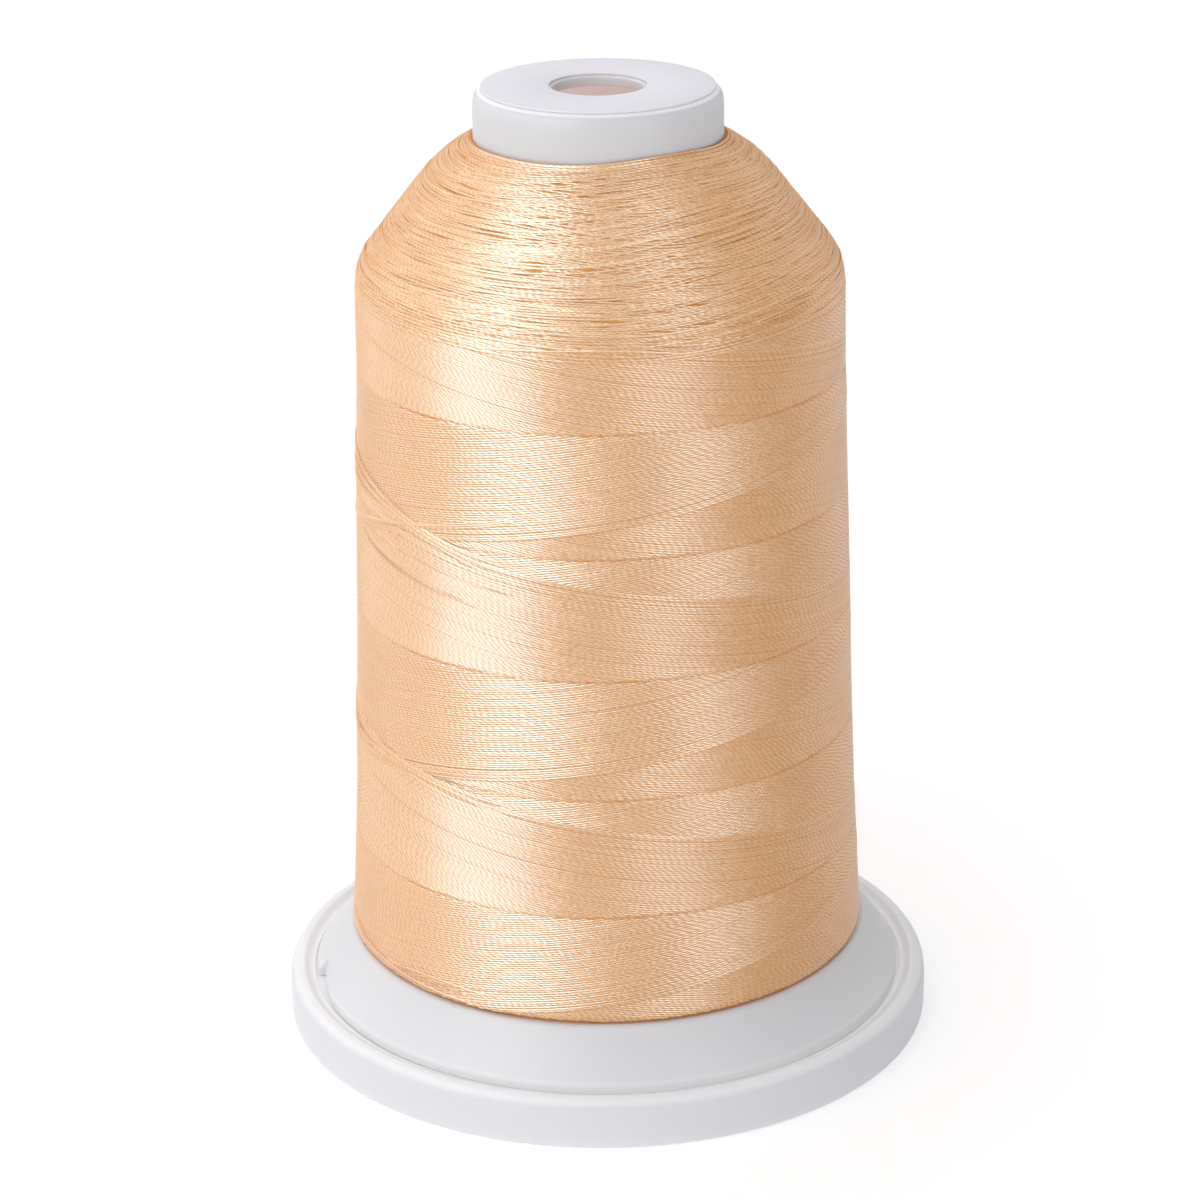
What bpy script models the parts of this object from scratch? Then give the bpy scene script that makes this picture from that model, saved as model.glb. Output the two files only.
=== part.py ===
# A cone of sewing thread, standing upright: a hollow moulded spool with a wide sloping flange, the thread
# wound on it, a ring-shaped base that the flange sits in, and a paper ring on the spool's cap.
# Metres, +Z up. The origin is on the axis, at the height of the surface that the base stands on.
import math

import bmesh
import bpy

# Base ring
BASE_RADIUS = 0.0400
BASE_CREST_RADIUS = 0.0388
BASE_CREST_HEIGHT = 0.0062
BASE_SHOULDER_HEIGHT = 0.0047  # where the straight outer wall starts to round over
BASE_FOOT_ROUND = 0.0007
BASE_FOOT_WIDTH = 0.0040
BASE_STEP_RADIUS = 0.0380  # small step from the crest down to the ledge beside the flange
BASE_STEP_LEAN = 0.0002
BASE_LEDGE_HEIGHT = 0.0058
BASE_LEDGE_FALL = 0.0002
BASE_FLOOR = 0.0024  # top of the thin floor that joins the ring to its middle sleeve
BASE_FLOOR_UNDERSIDE = 0.0008
BASE_RECESS_LEAN = 0.0004
SLEEVE_TOP = 0.0160  # the middle sleeve holds the spool's core from inside
SLEEVE_FOOT_WIDTH = 0.0010

# Spool
CAP_TOP = 0.1171
CAP_RADIUS = 0.0146
CAP_EDGE_WIDTH = 0.00095
CAP_EDGE_DEPTH = 0.0016
CAP_PLATE = 0.0014
BORE_RADIUS = 0.0053
BORE_CHAMFER = 0.0004
CORE_FOOT_RADIUS = 0.0150
WALL = 0.0015
FLANGE_RADIUS = 0.0365
FLANGE_LIP_TOP = 0.0064
FLANGE_LIP = 0.0011
FLANGE_LIP_ROUND = 0.0003
FLANGE_LIP_LAND = 0.0013  # flat underside of the lip
FLANGE_LIP_ARC = 50.0  # degrees of the lip's round, from the slope to the upright edge
FLANGE_FLAT_RADIUS = 0.0320
FLANGE_FLAT_TOP = 0.01195
FLANGE_SLOPE_CROWN = 0.0001
FLANGE_WALL = 0.0014
FLANGE_UNDERSIDE_INSET = 0.0011
FLANGE_PLAY = 0.0004  # between the lip and the base ring

# Two saw-tooth notches in the flange's lip catch the thread's end
NOTCH_DEPTH = 0.0009
NOTCH_START = math.radians(188.0)
NOTCH_SWEEP = math.radians(13.0)
NOTCH_CLEARANCE = 0.0003  # from a notch's depth to the crown of the slope
CUTTER_MARGIN = 0.0020
CUTTER_SLIVER = 0.0001

# Paper ring on the cap
LABEL_RADIUS = 0.01365
LABEL_HOLE_RADIUS = 0.0057
LABEL_THICKNESS = 0.0003

# Wound thread: height above the surface and outer radius, from the flange up to the neck
PACK_ROWS = (
    # height, radius
    (0.01225, 0.0316),
    (0.0128, 0.0320),
    (0.0300, 0.0309),
    (0.0500, 0.0302),
    (0.0700, 0.0296),
    (0.0850, 0.0291),
    (0.0940, 0.0290),
    (0.0962, 0.0288),
    (0.0978, 0.0281),
    (0.1030, 0.0241),
    (0.1070, 0.0210),
    (0.1095, 0.0184),
    (0.1110, 0.0163),
    (0.1117, 0.0153),
)
BODY_TOP = 0.0940  # below it the thread crosses in bands, above it the turns lie level
LAY_PITCH = 0.02934  # height that a strand gains in one turn round the body
CROSSING_HEIGHT = 0.0695  # where the two last lays of thread cross
CROSSING_ANGLE = math.radians(225.0)
LAY_RIDGE = 0.00015
LAY_RIDGE_WIDTH = 0.0015
SEAM_GROOVE = 0.00010  # level line between bands, every half pitch
SEAM_GROOVE_WIDTH = 0.0009

# Clearance between pieces, and how finely round shapes are divided
GAP = 0.0003
MERGE_DISTANCE = 0.00001
TURN_STEPS = 96
CREST_STEPS = 6
FOOT_STEPS = 3
CAP_EDGE_STEPS = 5
LIP_STEPS = 2
PACK_COLUMNS = 72
PACK_ROW_STEP = LAY_PITCH / 12
SHARP_ANGLE = math.radians(50.0)

# Finishes
WHITE_PLASTIC = (0.86, 0.86, 0.87)
WHITE_PLASTIC_ROUGHNESS = 0.38
LABEL_PAPER = (0.82, 0.80, 0.84)
LABEL_PAPER_ROUGHNESS = 0.60
PEACH_THREAD = (0.87, 0.61, 0.36)
PEACH_THREAD_ROUGHNESS = 0.42


def clear_scene():
    for obj in list(bpy.data.objects):
        bpy.data.objects.remove(obj, do_unlink=True)


def make_material(name, colour, roughness):
    material = bpy.data.materials.new(name)
    material.use_nodes = True
    shader = material.node_tree.nodes["Principled BSDF"]
    shader.inputs["Base Color"].default_value = (*colour, 1.0)
    shader.inputs["Roughness"].default_value = roughness
    shader.inputs["Metallic"].default_value = 0.0
    material.diffuse_color = (*colour, 1.0)
    return material


def add_object(name, mesh, material):
    obj = bpy.data.objects.new(name, mesh)
    bpy.context.scene.collection.objects.link(obj)
    if material:
        mesh.materials.append(material)
    return obj


def ellipse_arc(centre, half_width, half_height, start, end, steps):
    """Points (radius, height) on an ellipse's arc, between two angles in degrees."""
    points = []
    for step in range(steps + 1):
        angle = math.radians(start + (end - start) * step / steps)
        radius = centre[0] + half_width * math.cos(angle)
        points.append((radius, centre[1] + half_height * math.sin(angle)))
    return points


def turned(name, profile, material):
    """A closed (radius, height) profile, listed down its outer side first, turned round the axis."""
    mesh = bpy.data.meshes.new(name)
    vertices = [(radius, 0.0, height) for radius, height in profile]
    edges = [(index, (index + 1) % len(profile)) for index in range(len(profile))]
    mesh.from_pydata(vertices, edges, [])
    obj = add_object(name, mesh, material)
    screw = obj.modifiers.new("turn", "SCREW")
    screw.steps = TURN_STEPS
    screw.render_steps = TURN_STEPS
    screw.use_merge_vertices = True
    screw.merge_threshold = MERGE_DISTANCE
    screw.use_smooth_shade = True
    return obj


def core_radius(height):
    """The core's outer radius, which grows a little from the cap down to its foot."""
    return CAP_RADIUS + (CORE_FOOT_RADIUS - CAP_RADIUS) * (CAP_TOP - height) / CAP_TOP


def build_base(material):
    """Outer ring, thin floor and middle sleeve in one moulding, open through its middle."""
    sleeve_radius = core_radius(SLEEVE_TOP) - WALL - GAP
    sleeve_inner = sleeve_radius - WALL
    sleeve_foot = sleeve_radius + SLEEVE_FOOT_WIDTH
    ring_inner = FLANGE_RADIUS + FLANGE_PLAY
    foot_inner = BASE_RADIUS - BASE_FOOT_WIDTH
    foot_centre = (BASE_RADIUS - BASE_FOOT_ROUND, BASE_FOOT_ROUND)
    crest_centre = (BASE_CREST_RADIUS, BASE_SHOULDER_HEIGHT)
    crest_width = BASE_RADIUS - BASE_CREST_RADIUS
    crest_depth = BASE_CREST_HEIGHT - BASE_SHOULDER_HEIGHT
    profile = [(sleeve_inner, SLEEVE_TOP), (sleeve_radius, SLEEVE_TOP), (sleeve_radius, BASE_FLOOR)]
    profile += [(ring_inner, BASE_FLOOR), (ring_inner, BASE_LEDGE_HEIGHT - BASE_LEDGE_FALL)]
    profile += [(BASE_STEP_RADIUS, BASE_LEDGE_HEIGHT)]
    profile += [(BASE_STEP_RADIUS + BASE_STEP_LEAN, BASE_CREST_HEIGHT)]
    profile += ellipse_arc(crest_centre, crest_width, crest_depth, 90, 0, CREST_STEPS)
    profile += ellipse_arc(foot_centre, BASE_FOOT_ROUND, BASE_FOOT_ROUND, 0, -90, FOOT_STEPS)
    profile += [(foot_inner, 0.0), (foot_inner - BASE_RECESS_LEAN, BASE_FLOOR_UNDERSIDE)]
    profile += [(sleeve_foot + BASE_RECESS_LEAN, BASE_FLOOR_UNDERSIDE), (sleeve_foot, 0.0)]
    profile += [(sleeve_inner, 0.0)]
    return turned("snap_base", profile, material)


def build_spool(material):
    """Cap, hollow core and sloping flange in one moulding."""
    cap_edge_centre = (CAP_RADIUS - CAP_EDGE_WIDTH, CAP_TOP - CAP_EDGE_DEPTH)
    inner_top = core_radius(CAP_TOP) - WALL
    inner_foot = CORE_FOOT_RADIUS - WALL
    foot = BASE_FLOOR + GAP
    lip_bottom = FLANGE_LIP_TOP - FLANGE_LIP
    lip_centre = (FLANGE_RADIUS - FLANGE_LIP_ROUND, FLANGE_LIP_TOP - FLANGE_LIP_ROUND)
    lip = ellipse_arc(lip_centre, FLANGE_LIP_ROUND, FLANGE_LIP_ROUND, FLANGE_LIP_ARC, 0, LIP_STEPS)
    slope = (lip[0][1] - FLANGE_FLAT_TOP) / (lip[0][0] - FLANGE_FLAT_RADIUS)
    crown = FLANGE_RADIUS - NOTCH_DEPTH - NOTCH_CLEARANCE
    crown_height = FLANGE_FLAT_TOP + slope * (crown - FLANGE_FLAT_RADIUS) + FLANGE_SLOPE_CROWN
    underside_edge = FLANGE_FLAT_RADIUS - FLANGE_UNDERSIDE_INSET
    plate_bottom = FLANGE_FLAT_TOP - FLANGE_WALL
    plate_top = CAP_TOP - CAP_PLATE
    profile = [(BORE_RADIUS + BORE_CHAMFER, CAP_TOP)]
    profile += ellipse_arc(cap_edge_centre, CAP_EDGE_WIDTH, CAP_EDGE_DEPTH, 90, 0, CAP_EDGE_STEPS)
    profile += [(core_radius(FLANGE_FLAT_TOP), FLANGE_FLAT_TOP), (FLANGE_FLAT_RADIUS, FLANGE_FLAT_TOP)]
    profile += [(crown, crown_height), *lip]
    profile += [(FLANGE_RADIUS, lip_bottom), (FLANGE_RADIUS - FLANGE_LIP_LAND, lip_bottom)]
    profile += [(underside_edge, plate_bottom), (core_radius(plate_bottom), plate_bottom)]
    profile += [(CORE_FOOT_RADIUS, foot), (inner_foot, foot)]
    profile += [(inner_top, plate_top), (BORE_RADIUS, plate_top), (BORE_RADIUS, CAP_TOP - BORE_CHAMFER)]
    spool = turned("spool", profile, material)
    for side in range(2):
        cutter = build_notch_cutter(side, NOTCH_START + math.pi * side)
        cut = spool.modifiers.new(f"notch_{side}", "BOOLEAN")
        cut.operation = "DIFFERENCE"
        cut.solver = "EXACT"
        cut.object = cutter
    return spool


def build_notch_cutter(side, start):
    """A wedge across the flange's lip: deepest at its start angle, fading out a little further round."""
    corners = (
        (FLANGE_RADIUS - NOTCH_DEPTH, start),
        (FLANGE_RADIUS + CUTTER_MARGIN, start),
        (FLANGE_RADIUS + CUTTER_MARGIN, start + NOTCH_SWEEP),
        (FLANGE_RADIUS + CUTTER_SLIVER, start + NOTCH_SWEEP),
    )
    low = FLANGE_LIP_TOP - FLANGE_LIP - CUTTER_MARGIN
    high = FLANGE_LIP_TOP + CUTTER_MARGIN
    shape = bmesh.new()
    corner_points = [(radius * math.cos(angle), radius * math.sin(angle), low) for radius, angle in corners]
    face = shape.faces.new([shape.verts.new(point) for point in corner_points])
    raised = bmesh.ops.extrude_face_region(shape, geom=[face])
    moved = [item for item in raised["geom"] if isinstance(item, bmesh.types.BMVert)]
    bmesh.ops.translate(shape, vec=(0.0, 0.0, high - low), verts=moved)
    bmesh.ops.recalc_face_normals(shape, faces=shape.faces)
    mesh = bpy.data.meshes.new(f"notch_cutter_{side}")
    shape.to_mesh(mesh)
    shape.free()
    cutter = add_object(f"notch_cutter_{side}", mesh, None)
    cutter.hide_render = True
    cutter.display_type = "WIRE"
    return cutter


def build_label(material):
    """A flat ring of card that lies on the cap."""
    bottom = CAP_TOP + GAP
    top = bottom + LABEL_THICKNESS
    profile = [(LABEL_HOLE_RADIUS, top), (LABEL_RADIUS, top)]
    profile += [(LABEL_RADIUS, bottom), (LABEL_HOLE_RADIUS, bottom)]
    return turned("label", profile, material)


def pack_radius(height):
    """Outer radius of the winding at a height, read from its table of rows."""
    for (low, low_radius), (high, high_radius) in zip(PACK_ROWS, PACK_ROWS[1:]):
        if height <= high:
            share = max(0.0, (height - low) / (high - low))
            return low_radius + (high_radius - low_radius) * share
    return PACK_ROWS[-1][1]


def lay_relief(angle, height):
    """Rise of the last lay of thread each way, and the groove of the level seams between bands."""
    if height > BODY_TOP:
        return 0.0
    climb = (height - CROSSING_HEIGHT) / LAY_PITCH
    relief = 0.0
    for way in (1, -1):
        turns = ((angle - CROSSING_ANGLE) / math.tau - way * climb + 0.5) % 1.0 - 0.5
        relief = max(relief, LAY_RIDGE * math.exp(-((turns * LAY_PITCH / LAY_RIDGE_WIDTH) ** 2)))
    bands = climb * 2
    off_seam = (bands - round(bands)) * LAY_PITCH / 2
    return relief - SEAM_GROOVE * math.exp(-((off_seam / SEAM_GROOVE_WIDTH) ** 2))


def pack_heights():
    """Row heights: an even step up the body, with each row of the table kept above it."""
    bottom = PACK_ROWS[1][0]
    count = round((BODY_TOP - bottom) / PACK_ROW_STEP)
    body = [bottom + (BODY_TOP - bottom) * step / count for step in range(count)]
    shoulder = [height for height, _ in PACK_ROWS if height >= BODY_TOP]
    return [PACK_ROWS[0][0], *body, *shoulder]


def add_loop(shape, height, radius_at):
    """One closed ring of vertices at a height, with its radius given as a function of the angle."""
    loop = []
    for column in range(PACK_COLUMNS):
        angle = math.tau * column / PACK_COLUMNS
        radius = radius_at(angle)
        loop.append(shape.verts.new((radius * math.cos(angle), radius * math.sin(angle), height)))
    return loop


def build_thread_pack(material):
    """The wound form with its shoulder and the main bands of its lay, round the spool's core."""
    heights = pack_heights()
    shape = bmesh.new()
    loops = []
    for height in heights:
        loops.append(add_loop(shape, height, lambda angle, z=height: pack_radius(z) + lay_relief(angle, z)))
    for height in (heights[-1], heights[0]):
        loops.append(add_loop(shape, height, lambda angle, z=height: core_radius(z) + GAP))
    for lower, upper in zip(loops, loops[1:] + loops[:1]):
        for column in range(PACK_COLUMNS):
            after = (column + 1) % PACK_COLUMNS
            shape.faces.new((lower[column], lower[after], upper[after], upper[column]))
    mesh = bpy.data.meshes.new("thread_pack")
    shape.to_mesh(mesh)
    shape.free()
    mesh.shade_smooth()
    mesh.set_sharp_from_angle(angle=SHARP_ANGLE)
    return add_object("thread_pack", mesh, material)


clear_scene()
plastic = make_material("white_plastic", WHITE_PLASTIC, WHITE_PLASTIC_ROUGHNESS)
paper = make_material("label_paper", LABEL_PAPER, LABEL_PAPER_ROUGHNESS)
thread = make_material("peach_thread", PEACH_THREAD, PEACH_THREAD_ROUGHNESS)
build_base(plastic)
build_spool(plastic)
build_label(paper)
build_thread_pack(thread)
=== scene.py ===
from math import cos, pi, radians, sin

import bpy
import numpy as np
from mathutils import Matrix, Vector


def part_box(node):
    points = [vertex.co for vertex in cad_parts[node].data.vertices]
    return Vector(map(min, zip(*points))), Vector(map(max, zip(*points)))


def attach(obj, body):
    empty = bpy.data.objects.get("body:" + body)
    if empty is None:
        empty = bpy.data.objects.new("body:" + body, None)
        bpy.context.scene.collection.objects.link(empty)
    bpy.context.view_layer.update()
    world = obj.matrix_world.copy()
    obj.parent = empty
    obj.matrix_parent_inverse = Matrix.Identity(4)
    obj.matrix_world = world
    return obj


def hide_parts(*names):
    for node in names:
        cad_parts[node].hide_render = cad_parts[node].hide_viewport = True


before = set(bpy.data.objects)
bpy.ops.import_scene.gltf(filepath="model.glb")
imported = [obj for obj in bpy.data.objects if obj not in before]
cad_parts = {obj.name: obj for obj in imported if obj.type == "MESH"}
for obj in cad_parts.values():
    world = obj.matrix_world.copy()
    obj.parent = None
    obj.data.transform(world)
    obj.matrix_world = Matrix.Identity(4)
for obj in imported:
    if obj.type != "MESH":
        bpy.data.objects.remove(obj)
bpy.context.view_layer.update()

mm = 0.001
chance = np.random.default_rng(7)

# Sizes that follow from the frame
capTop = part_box("spool")[1].z
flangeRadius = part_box("spool")[1].y
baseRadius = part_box("snap_base")[1].x
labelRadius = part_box("label")[1].x


# Meshes

def addPiece(name, node, finish):
    # an empty mesh at the origin that rides on the part's one body and stands for a node
    piece = bpy.data.objects.new(name, bpy.data.meshes.new(name))
    bpy.context.scene.collection.objects.link(piece)
    piece.data.materials.append(finish)
    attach(piece, "root")
    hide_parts(node)
    return piece


def fillMesh(mesh, points, quads, smooth=True):
    # points (n, 3) and quads (m, 4) go in as whole arrays
    mesh.vertices.add(len(points))
    mesh.vertices.foreach_set("co", np.ascontiguousarray(points, np.float32).ravel())
    mesh.loops.add(quads.size)
    mesh.loops.foreach_set("vertex_index", np.ascontiguousarray(quads, np.int32).ravel())
    mesh.polygons.add(len(quads))
    mesh.polygons.foreach_set("loop_start", np.arange(0, quads.size, 4, dtype=np.int32))
    mesh.update(calc_edges=True)
    mesh.polygons.foreach_set("use_smooth", np.full(len(quads), smooth))
    mesh.validate()


def evenAngles(count):
    # once round the axis, without the last angle, which is the first again
    return np.linspace(0, 2 * pi, count, endpoint=False)


def roundAxis(angle, radius, height):
    # points at an angle, a radius and a height: radius times its cosine, radius times its sine, height
    return np.stack([radius * np.cos(angle), radius * np.sin(angle), height], axis=-1)


def turnProfile(mesh, profile, angles, shape=None):
    # each closed (radius, height) profile point goes once round the axis; shape may move the whole grid
    radius, height = (np.tile(values, (len(angles), 1)) for values in profile.T)
    if shape:
        radius, height = shape(angles[:, None], radius, height)
    points = roundAxis(angles[:, None], radius, height)
    turns, corners = radius.shape
    index = np.arange(turns * corners).reshape(turns, corners)
    right = np.roll(index, -1, axis=0)
    quads = np.stack([index, np.roll(index, -1, axis=1), np.roll(right, -1, axis=1), right], axis=-1)
    fillMesh(mesh, points.reshape(-1, 3), quads.reshape(-1, 4))


def roundOff(corners, steps=5):
    # corners (radius, height, fillet): each is cut back by its fillet and bridged by a quadratic curve
    places = np.array([corner[:2] for corner in corners])
    fillets = np.array([corner[2] for corner in corners])
    before = np.roll(places, 1, axis=0) - places
    after = np.roll(places, -1, axis=0) - places
    outline = []
    for place, fillet, back, ahead in zip(places, fillets, before, after):
        if fillet == 0:
            outline.append(place[None])
            continue
        start = place + back / np.linalg.norm(back) * fillet
        end = place + ahead / np.linalg.norm(ahead) * fillet
        along = np.linspace(0, 1, steps + 1)[:, None]
        outline.append((1 - along) ** 2 * start + 2 * along * (1 - along) * place + along ** 2 * end)
    return np.concatenate(outline)


# Nodes

class Wire:
    # one output of a node; arithmetic on it adds Math nodes
    def __init__(self, maker, socket):
        self.maker = maker
        self.socket = socket

    def math(self, operation, *values):
        return self.maker.node("ShaderNodeMath", {"operation": operation}, values)

    def __add__(self, other):
        return self.math("ADD", self, other)

    def __radd__(self, other):
        return self.math("ADD", other, self)

    def __sub__(self, other):
        return self.math("SUBTRACT", self, other)

    def __rsub__(self, other):
        return self.math("SUBTRACT", other, self)

    def __mul__(self, other):
        return self.math("MULTIPLY", self, other)

    def __rmul__(self, other):
        return self.math("MULTIPLY", other, self)

    def fraction(self):
        return self.math("FRACT", self)

    def size(self):
        return self.math("ABSOLUTE", self)

    def atLeast(self, low):
        return self.math("MAXIMUM", self, low)

    def between(self, low, high):
        # 0 at low to 1 at high, with soft ends
        return self.maker.node(
            "ShaderNodeMapRange", {"interpolation_type": "SMOOTHSTEP"},
            {"Value": self, "From Min": low, "From Max": high},
        )


class NodeMaker:
    # adds nodes to one tree, each from its type, its settings, and the values or links of its sockets
    def __init__(self, tree):
        self.tree = tree

    def node(self, kind, settings, values, output=0):
        made = self.tree.nodes.new(kind)
        for setting, value in settings.items():
            setattr(made, setting, value)
        pairs = values.items() if isinstance(values, dict) else enumerate(values)
        for socket, value in pairs:
            if isinstance(value, Wire):
                self.tree.links.new(value.socket, made.inputs[socket])
            else:
                made.inputs[socket].default_value = value
        return Wire(self, made.outputs[output])

    def vector(self, operation, *values, output=0):
        return self.node("ShaderNodeVectorMath", {"operation": operation}, values, output)

    def scaled(self, vector, factor):
        return self.node("ShaderNodeVectorMath", {"operation": "SCALE"}, {0: vector, "Scale": factor})


class Finish(NodeMaker):
    # a material with one Principled shader, whose fixed sockets are set by name
    def __init__(self, name, **fixed):
        self.material = bpy.data.materials.new(name)
        self.material.use_nodes = True
        super().__init__(self.material.node_tree)
        self.shader = self.tree.nodes["Principled BSDF"]
        for socket, value in fixed.items():
            self.shader.inputs[socket.replace("_", " ")].default_value = value

    def feed(self, socket, value):
        self.tree.links.new(value.socket, self.shader.inputs[socket])

    def place(self):
        return self.node("ShaderNodeTexCoord", {}, {}, "Object")

    def noise(self, place, scale, detail):
        return self.node("ShaderNodeTexNoise", {}, {"Vector": place, "Scale": scale, "Detail": detail})

    def blend(self, amount, first, second):
        return self.node("ShaderNodeMix", {"data_type": "RGBA"}, {"Factor": amount, 6: first, 7: second}, 2)


# Camera, floor and light

view = {
    "distance": 0.440,
    "elevation": radians(21.23),
    "aim": Vector((-0.00043, 0.0, 0.05343)),
    "roll": radians(-0.648),
    "lens": 108.3,
    "sensor": 36.0,
    "clip": (0.01, 20.0),
}


def addCamera():
    data = bpy.data.cameras.new("camera")
    data.lens = view["lens"]
    data.sensor_width = view["sensor"]
    data.clip_start, data.clip_end = view["clip"]
    camera = bpy.data.objects.new("camera", data)
    bpy.context.scene.collection.objects.link(camera)
    back = Vector((0.0, -cos(view["elevation"]), sin(view["elevation"])))
    camera.rotation_mode = "QUATERNION"
    look = (-back).to_track_quat("-Z", "Y").to_matrix().to_4x4()
    turned = look @ Matrix.Rotation(view["roll"], 4, "Z")
    camera.location = view["aim"] + back * view["distance"]
    camera.rotation_quaternion = turned.to_quaternion()
    bpy.context.scene.camera = camera


floorLook = {
    "size": 6.0,
    "colour": (0.90, 0.90, 0.90, 1.0),
    "glowColour": (1.0, 1.0, 1.0, 1.0),
    "glow": 0.33,
    "rough": 0.9,
}


def addFloor():
    half = floorLook["size"] / 2
    points = np.array([(-half, -half, 0), (half, -half, 0), (half, half, 0), (-half, half, 0)])
    floor = bpy.data.objects.new("floor", bpy.data.meshes.new("floor"))
    fillMesh(floor.data, points, np.array([[0, 1, 2, 3]]), smooth=False)
    finish = Finish(
        "paleFloor", Base_Color=floorLook["colour"], Roughness=floorLook["rough"], Specular_IOR_Level=0.0,
        Emission_Color=floorLook["glowColour"], Emission_Strength=floorLook["glow"],
    )
    floor.data.materials.append(finish.material)
    bpy.context.scene.collection.objects.link(floor)


# Broad lamps that show in the sheen but don't light matte surfaces
lamps = (
    # name, azimuth round the axis, elevation, distance, width, height, power
    ("keySheen", -138.0, 33.0, 0.9, 0.70, 1.00, 54.0),
    ("fillSheen", -50.0, 33.0, 0.9, 0.48, 0.90, 21.0),
    ("leftSheen", 172.0, 30.0, 0.95, 1.20, 1.20, 20.0),
    ("rightSheen", 30.0, 30.0, 0.95, 0.80, 1.20, 9.0),
)
lampTarget = Vector((0.0, 0.0, 0.055))


def addLamps():
    for name, azimuth, elevation, distance, width, height, power in lamps:
        data = bpy.data.lights.new(name, "AREA")
        data.shape = "RECTANGLE"
        data.size = width
        data.size_y = height
        data.energy = power
        lamp = bpy.data.objects.new(name, data)
        lamp.visible_diffuse = False
        flat = cos(radians(elevation)) * distance
        place = Vector((
            cos(radians(azimuth)) * flat,
            sin(radians(azimuth)) * flat,
            sin(radians(elevation)) * distance,
        ))
        lamp.location = lampTarget + place
        lamp.rotation_mode = "QUATERNION"
        lamp.rotation_quaternion = (-place).to_track_quat("-Z", "Y")
        bpy.context.scene.collection.objects.link(lamp)


surround = {
    "colour": (0.97, 0.98, 1.0, 1.0),
    "strength": 0.74,
    "lean": (-0.65, -0.07, 0.50),  # what the strength gains towards +X, +Y and +Z
    "sides": -1.15,  # what it gains towards both sides
}


def addSurround():
    # its strength is a constant, plus the dot product of the lean with the direction, plus sides times the
    # square of the direction's x, and never below 0
    world = bpy.data.worlds.new("surround")
    world.use_nodes = True
    sky = world.node_tree.nodes["Background"]
    sky.inputs["Color"].default_value = surround["colour"]
    maker = NodeMaker(world.node_tree)
    direction = maker.node("ShaderNodeTexCoord", {}, {}, "Generated")
    leaning = maker.vector("DOT_PRODUCT", direction, surround["lean"], output="Value")
    squared = maker.vector("MULTIPLY", direction, direction)
    sideways = maker.vector("DOT_PRODUCT", squared, (surround["sides"], 0.0, 0.0), output="Value")
    strength = (leaning + sideways + surround["strength"]).atLeast(0.0)
    world.node_tree.links.new(strength.socket, sky.inputs["Strength"])
    bpy.context.scene.world = world
    bpy.context.scene.view_settings.view_transform = "Standard"


addCamera()
addFloor()
addLamps()
addSurround()
print("camera, floor and lights are in place")


# Plastic base and spool

plasticColumns = 288
baseMould = {
    "crestRadius": 38.8 * mm,
    "crestHeight": 6.2 * mm,
    "shoulder": 4.7 * mm,
    "footRound": 0.7 * mm,
    "footWidth": 4.0 * mm,
    "step": 38.0 * mm,
    "ledge": 5.8 * mm,
    "ringInner": 36.9 * mm,
    "shelf": 5.1 * mm,
    "shelfInner": 35.2 * mm,
    "floorTop": 2.4 * mm,
    "floorUnder": 0.8 * mm,
    "sleeveTop": 16.0 * mm,
    "sleeve": 13.145 * mm,
    "wall": 1.5 * mm,
}


def addBase(finish):
    # one closed profile turned round the axis: sleeve, floor, shelf, crest, side, foot and underside
    m = baseMould
    bore = m["sleeve"] - m["wall"]
    corners = (
        (bore, m["sleeveTop"], 0.3 * mm),
        (m["sleeve"], m["sleeveTop"], 0.4 * mm),
        (m["sleeve"], m["floorTop"], 0.5 * mm),
        (m["shelfInner"], m["floorTop"], 0.5 * mm),
        (m["shelfInner"], m["shelf"], 0.15 * mm),
        (m["ringInner"], m["shelf"], 0.1 * mm),
        (m["ringInner"], m["ledge"] - 0.2 * mm, 0.15 * mm),
        (m["step"] - 0.35 * mm, m["ledge"] - 0.05 * mm, 0.3 * mm),
        (m["step"] + 0.25 * mm, m["crestHeight"], 0.28 * mm),
        (m["crestRadius"] + 0.25 * mm, m["crestHeight"] - 0.02 * mm, 0.3 * mm),
        (baseRadius - 0.15 * mm, m["crestHeight"] - 0.75 * mm, 0.55 * mm),
        (baseRadius, m["shoulder"] - 0.3 * mm, 0.4 * mm),
        (baseRadius, 0.0, m["footRound"]),
        (baseRadius - m["footWidth"], 0.0, 0.2 * mm),
        (baseRadius - m["footWidth"] - 0.4 * mm, m["floorUnder"], 0.2 * mm),
        (m["sleeve"] + 1.4 * mm, m["floorUnder"], 0.2 * mm),
        (m["sleeve"] + 1.0 * mm, 0.0, 0.2 * mm),
        (bore, 0.0, 0.2 * mm),
    )
    piece = addPiece("baseRing", "snap_base", finish)
    turnProfile(piece.data, roundOff(corners)[::-1], evenAngles(plasticColumns))


spoolMould = {
    "capRadius": 14.6 * mm,
    "edgeDepth": 1.6 * mm,
    "plate": 1.25 * mm,
    "bore": 5.3 * mm,
    "footRadius": 15.0 * mm,
    "wall": 1.5 * mm,
    "flatRadius": 32.0 * mm,
    "flatTop": 11.95 * mm,
    "flatThick": 1.4 * mm,
    "lipTop": 6.4 * mm,
    "lip": 1.1 * mm,
    "lipWidth": 1.3 * mm,
    "foot": 2.7 * mm,
    "notchDepth": 0.9 * mm,
    "notchStart": radians(188.0),
    "notchSweep": radians(13.0),
    "notchBelow": 9 * mm,  # nothing above this height is cut
}


def coreRadius(height):
    # the core widens evenly from the cap's radius at the top to the foot's at height 0
    m = spoolMould
    return m["capRadius"] + (m["footRadius"] - m["capRadius"]) * (capTop - height) / capTop


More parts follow.
